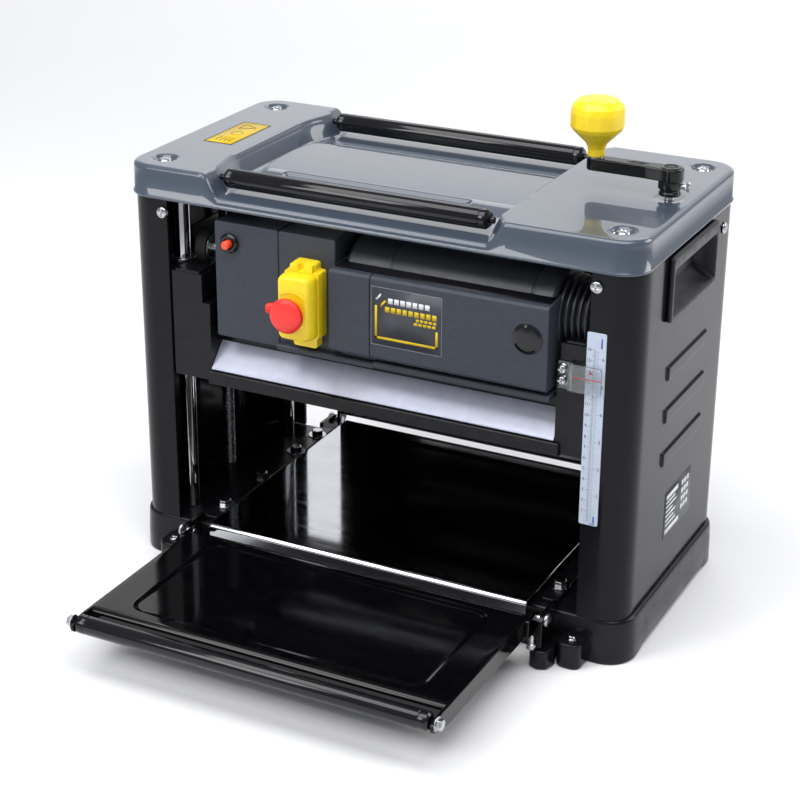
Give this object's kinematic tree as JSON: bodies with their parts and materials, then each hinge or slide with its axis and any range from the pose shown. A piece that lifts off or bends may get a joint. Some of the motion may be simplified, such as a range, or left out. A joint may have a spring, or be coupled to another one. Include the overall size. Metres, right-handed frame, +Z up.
{
  "type": "thickness planer",
  "caption": "Benchtop thickness planer with cast base, four-column frame, crank-raised cutter carriage, fold-up extension tables, depth scale and safety switch.",
  "frame": {"origin": "centre of the bounding box at its bottom, on the ground plane, with the infeed table down and the outfeed table folded up", "axes": "+Z up, +X towards the crank side, -Y towards the infeed side"},
  "size_m": [0.5136, 0.5156, 0.479],
  "materials": {
    "cast_black": "satin black casting paint",
    "head_black": "rough black casting paint",
    "black_gloss": "gloss black",
    "panel_black": "satin black",
    "cover_grey": "gloss blue-grey",
    "charcoal_plastic": "fine textured charcoal",
    "black_plastic": "gloss black",
    "motor_black": "satin black",
    "chrome": "bright",
    "steel": "zinc plated",
    "table_steel": "polished",
    "crank_black": "gloss black",
    "scale_white": "printed",
    "deflector_grey": "satin",
    "rubber": "matte",
    "clear": "clear",
    "orange_plastic": "satin",
    "yellow_plastic": "satin",
    "red_plastic": "satin",
    "green_plastic": "satin"
  },
  "bodies": {
    "frame": {"base": "cast_black", "main_table": "table_steel", "side_panel_left": "panel_black", "side_panel_right": "panel_black", "handle_left": "charcoal_plastic", "handle_right": "charcoal_plastic", "top_cover": "cover_grey", "cover_screw_front_left": "chrome", "cover_screw_front_right": "chrome", "cover_screw_rear_left": "chrome", "cover_screw_rear_right": "chrome", "column_screw_left": "chrome", "column_screw_right": "chrome", "guide_column_front_left": "chrome", "guide_column_front_right": "chrome", "guide_column_rear_left": "chrome", "guide_column_rear_right": "chrome", "depth_scale": "scale_white", "hinge_pin_front_left": "steel", "hinge_pin_front_right": "steel", "hinge_pin_rear_left": "steel", "hinge_pin_rear_right": "steel", "stop_screw_front_left": "steel", "stop_screw_front_right": "steel", "stop_screw_rear_left": "steel", "stop_screw_rear_right": "steel", "lead_screw_chain": "steel"},
    "carriage": {"head_casting": "head_black", "chip_plate": "deflector_grey", "drive_belt": "rubber", "gear_cover": "charcoal_plastic", "switch_housing": "charcoal_plastic", "motor_cover": "charcoal_plastic", "brush_plug": "black_plastic", "motor": "motor_black", "motor_end_bell": "motor_black", "chip_hood": "charcoal_plastic", "scale_cursor": "clear", "reset_bezel": "black_plastic", "switch_body": "yellow_plastic"},
    "crank": {"crank": "crank_black"},
    "knob": {"knob": "yellow_plastic"},
    "lead_screw_left": {"lead_screw_left": "steel"},
    "cutter": {"cutter_block": "steel", "cutter_knife_1": "steel", "cutter_knife_2": "steel"},
    "motor_shaft": {"motor_shaft": "steel"},
    "infeed_roller": {"infeed_roller": "rubber"},
    "outfeed_roller": {"outfeed_roller": "rubber"},
    "return_roller_front": {"return_roller_front": "black_gloss"},
    "return_roller_rear": {"return_roller_rear": "black_gloss"},
    "infeed_table": {"infeed_table": "black_gloss"},
    "outfeed_table": {"outfeed_table": "black_gloss"},
    "end_roller_infeed": {"end_roller_infeed": "black_gloss"},
    "end_roller_outfeed": {"end_roller_outfeed": "black_gloss"},
    "reset_button": {"reset_button": "orange_plastic"},
    "switch_lid": {"switch_lid": "yellow_plastic"},
    "stop_paddle": {"stop_paddle": "red_plastic"},
    "stop_button": {"stop_button": "red_plastic"},
    "start_button": {"start_button": "green_plastic"}
  },
  "joints": [
    {"name": "carriage_slide", "type": "slide", "parent": "frame", "child": "carriage", "axis": [0, 0, 1], "range_m": [-0.1294, 0.0176]},
    {"name": "crank_turn", "type": "hinge", "parent": "frame", "child": "crank", "pos_m": [0.2276, 0.09575, 0.4], "axis": [0, 0, 1], "range_deg": [-23300, 3172]},
    {"name": "lead_screw_left_turn", "type": "hinge", "parent": "frame", "child": "lead_screw_left", "pos_m": [-0.2276, 0.09575, 0.3], "axis": [0, 0, 1], "range_deg": [-23300, 3172]},
    {"name": "knob_spin", "type": "hinge", "parent": "crank", "child": "knob", "pos_m": [0.1584, 0.09575, 0.45], "axis": [0, 0, 1], "continuous": true},
    {"name": "cutter_spin", "type": "hinge", "parent": "carriage", "child": "cutter", "pos_m": [0, 0.09575, 0.2104], "axis": [1, 0, 0], "continuous": true},
    {"name": "motor_spin", "type": "hinge", "parent": "carriage", "child": "motor_shaft", "pos_m": [-0.1, 0.00975, 0.314], "axis": [1, 0, 0], "continuous": true},
    {"name": "infeed_spin", "type": "hinge", "parent": "carriage", "child": "infeed_roller", "pos_m": [0, 0.03375, 0.1992], "axis": [1, 0, 0], "continuous": true},
    {"name": "outfeed_spin", "type": "hinge", "parent": "carriage", "child": "outfeed_roller", "pos_m": [0, 0.15775, 0.1992], "axis": [1, 0, 0], "continuous": true},
    {"name": "return_front_spin", "type": "hinge", "parent": "frame", "child": "return_roller_front", "pos_m": [-0.02445, -0.01065, 0.3904], "axis": [1, 0, 0], "continuous": true},
    {"name": "return_rear_spin", "type": "hinge", "parent": "frame", "child": "return_roller_rear", "pos_m": [-0.02445, 0.20215, 0.3904], "axis": [1, 0, 0], "continuous": true},
    {"name": "infeed_fold", "type": "hinge", "parent": "frame", "child": "infeed_table", "pos_m": [0, -0.05325, 0.045], "axis": [-1, 0, 0], "range_deg": [0, 90]},
    {"name": "outfeed_fold", "type": "hinge", "parent": "frame", "child": "outfeed_table", "pos_m": [0, 0.24475, 0.045], "axis": [1, 0, 0], "range_deg": [-90, 0]},
    {"name": "end_roller_infeed_spin", "type": "hinge", "parent": "infeed_table", "child": "end_roller_infeed", "pos_m": [0, -0.24925, 0.0465], "axis": [1, 0, 0], "continuous": true},
    {"name": "end_roller_outfeed_spin", "type": "hinge", "parent": "outfeed_table", "child": "end_roller_outfeed", "pos_m": [0, 0.24325, 0.241], "axis": [1, 0, 0], "continuous": true},
    {"name": "reset_press", "type": "slide", "parent": "carriage", "child": "reset_button", "axis": [0, 1, 0], "range_m": [0, 0.003], "stiffness_N_per_m": 300, "springref_m": -0.002},
    {"name": "lid_lift", "type": "hinge", "parent": "carriage", "child": "switch_lid", "pos_m": [-0.0595, -0.04555, 0.3275], "axis": [-1, 0, 0], "range_deg": [0, 95]},
    {"name": "paddle_press", "type": "slide", "parent": "switch_lid", "child": "stop_paddle", "axis": [0, 1, 0], "range_m": [0, 0.004], "stiffness_N_per_m": 300, "springref_m": -0.002},
    {"name": "stop_press", "type": "slide", "parent": "carriage", "child": "stop_button", "axis": [0, 1, 0], "range_m": [0, 0.002], "stiffness_N_per_m": 300, "springref_m": -0.002},
    {"name": "start_press", "type": "slide", "parent": "carriage", "child": "start_button", "axis": [0, 1, 0], "range_m": [0, 0.002], "stiffness_N_per_m": 300, "springref_m": -0.002}
  ],
  "couplings": [
    {"joint": "crank_turn", "follows": "carriage_slide", "rad_per_m": 3141.6},
    {"joint": "lead_screw_left_turn", "follows": "carriage_slide", "rad_per_m": 3141.6},
    {"joint": "motor_spin", "follows": "cutter_spin", "ratio": 1.1429},
    {"joint": "outfeed_spin", "follows": "infeed_spin", "ratio": 1}
  ]
}
